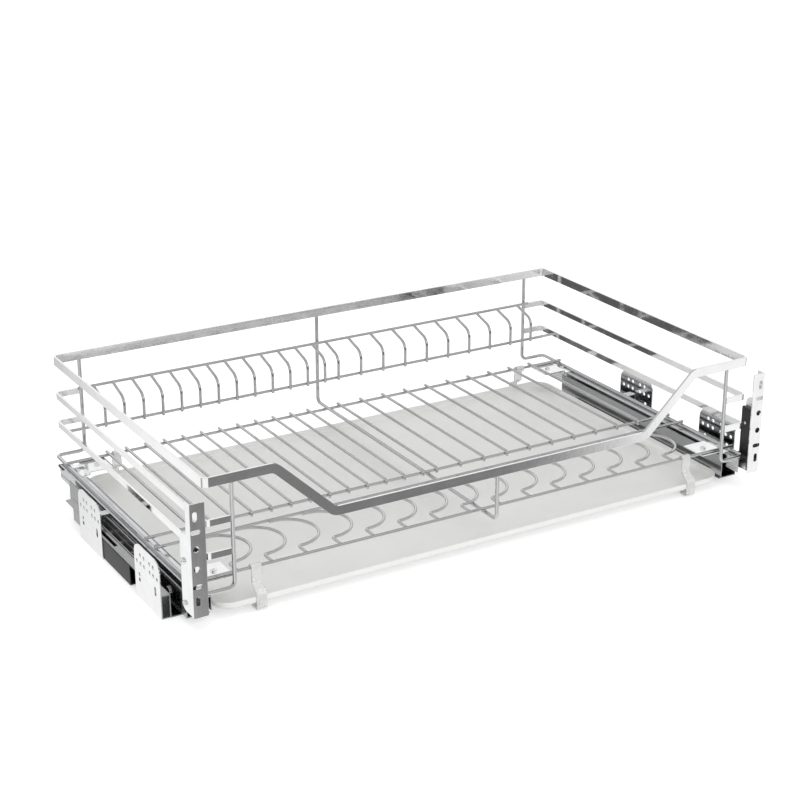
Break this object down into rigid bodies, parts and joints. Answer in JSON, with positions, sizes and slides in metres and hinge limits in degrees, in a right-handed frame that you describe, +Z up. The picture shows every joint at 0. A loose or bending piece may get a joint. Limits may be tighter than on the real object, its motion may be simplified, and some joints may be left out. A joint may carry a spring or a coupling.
{
  "type": "pull-out cabinet basket",
  "caption": "Chrome wire pull-out basket for a base cabinet on soft-close slides, with a dipped front rail, jar holder rings, a plate rack, a drip tray and wall brackets.",
  "frame": {"origin": "bottom of the wall brackets, in the middle of the space that the object fills", "axes": "+Z up, -Y towards the person who pulls the basket out, +X to their right"},
  "size_m": [0.864, 0.4884, 0.192],
  "materials": {
    "bright_chrome": "polished chrome plating on steel wire and flat bar",
    "zinc_steel": "bright zinc-plated sheet steel",
    "tray_grey": "light grey moulded tray, satin",
    "clear_plastic": "milky translucent plastic",
    "black_plastic": "black moulded plastic",
    "pale_plastic": "pale grey nylon"
  },
  "bodies": {
    "cabinet_side": {"soft_close_sliders": "pale_plastic", "soft_close_dampers": "zinc_steel", "soft_close_springs": "zinc_steel", "cabinet_member_left": "zinc_steel", "soft_close_housing_left": "black_plastic", "wall_bracket_front_left": "zinc_steel", "wall_bracket_rear_left": "zinc_steel", "cabinet_member_right": "zinc_steel", "soft_close_housing_right": "black_plastic", "wall_bracket_front_right": "zinc_steel", "wall_bracket_rear_right": "zinc_steel"},
    "basket": {"top_rail": "bright_chrome", "centre_frame": "bright_chrome", "floor_wire_front": "bright_chrome", "floor_wires_middle": "bright_chrome", "floor_wire_rear": "bright_chrome", "jar_holder_arcs": "bright_chrome", "rack_wire_upper": "bright_chrome", "rack_wire_lower": "bright_chrome", "fixing_screws": "zinc_steel", "front_plate_screws": "zinc_steel", "drip_tray": "tray_grey", "tray_clips_front": "clear_plastic", "tray_clips_rear": "clear_plastic", "middle_rail_left": "bright_chrome", "lower_rail_left": "bright_chrome", "side_frame_left": "bright_chrome", "plate_wires_left": "bright_chrome", "rack_wires_left": "bright_chrome", "fixing_plates_left": "zinc_steel", "front_plate_left": "bright_chrome", "front_catch_left": "black_plastic", "drawer_member_left": "zinc_steel", "drawer_end_cap_left": "pale_plastic", "soft_close_arm_left": "zinc_steel", "middle_rail_right": "bright_chrome", "lower_rail_right": "bright_chrome", "side_frame_right": "bright_chrome", "plate_wires_right": "bright_chrome", "rack_wires_right": "bright_chrome", "fixing_plates_right": "zinc_steel", "front_plate_right": "bright_chrome", "front_catch_right": "black_plastic", "drawer_member_right": "zinc_steel", "drawer_end_cap_right": "pale_plastic", "soft_close_arm_right": "zinc_steel"},
    "intermediate_left": {"intermediate_member_left": "zinc_steel", "stop_rivet_left": "zinc_steel"},
    "ball_carriage_left": {"ball_cage_left": "pale_plastic", "balls_left": "zinc_steel"},
    "roller_carriage_left": {"roller_cage_left": "pale_plastic", "rollers_left": "pale_plastic"},
    "intermediate_right": {"intermediate_member_right": "zinc_steel", "stop_rivet_right": "zinc_steel"},
    "ball_carriage_right": {"ball_cage_right": "pale_plastic", "balls_right": "zinc_steel"},
    "roller_carriage_right": {"roller_cage_right": "pale_plastic", "rollers_right": "pale_plastic"}
  },
  "joints": [
    {"name": "basket_slide", "type": "slide", "parent": "cabinet_side", "child": "basket", "axis": [0, -1, 0], "range_m": [0, 0.43]},
    {"name": "intermediate_left_slide", "type": "slide", "parent": "cabinet_side", "child": "intermediate_left", "axis": [0, -1, 0], "range_m": [0, 0.215]},
    {"name": "ball_carriage_left_slide", "type": "slide", "parent": "cabinet_side", "child": "ball_carriage_left", "axis": [0, -1, 0], "range_m": [0, 0.3225]},
    {"name": "roller_carriage_left_slide", "type": "slide", "parent": "cabinet_side", "child": "roller_carriage_left", "axis": [0, -1, 0], "range_m": [0, 0.1075]},
    {"name": "intermediate_right_slide", "type": "slide", "parent": "cabinet_side", "child": "intermediate_right", "axis": [0, -1, 0], "range_m": [0, 0.215]},
    {"name": "ball_carriage_right_slide", "type": "slide", "parent": "cabinet_side", "child": "ball_carriage_right", "axis": [0, -1, 0], "range_m": [0, 0.3225]},
    {"name": "roller_carriage_right_slide", "type": "slide", "parent": "cabinet_side", "child": "roller_carriage_right", "axis": [0, -1, 0], "range_m": [0, 0.1075]}
  ],
  "couplings": [
    {"joint": "intermediate_left_slide", "follows": "basket_slide", "ratio": 0.5},
    {"joint": "ball_carriage_left_slide", "follows": "basket_slide", "ratio": 0.75},
    {"joint": "roller_carriage_left_slide", "follows": "basket_slide", "ratio": 0.25},
    {"joint": "intermediate_right_slide", "follows": "basket_slide", "ratio": 0.5},
    {"joint": "ball_carriage_right_slide", "follows": "basket_slide", "ratio": 0.75},
    {"joint": "roller_carriage_right_slide", "follows": "basket_slide", "ratio": 0.25}
  ]
}
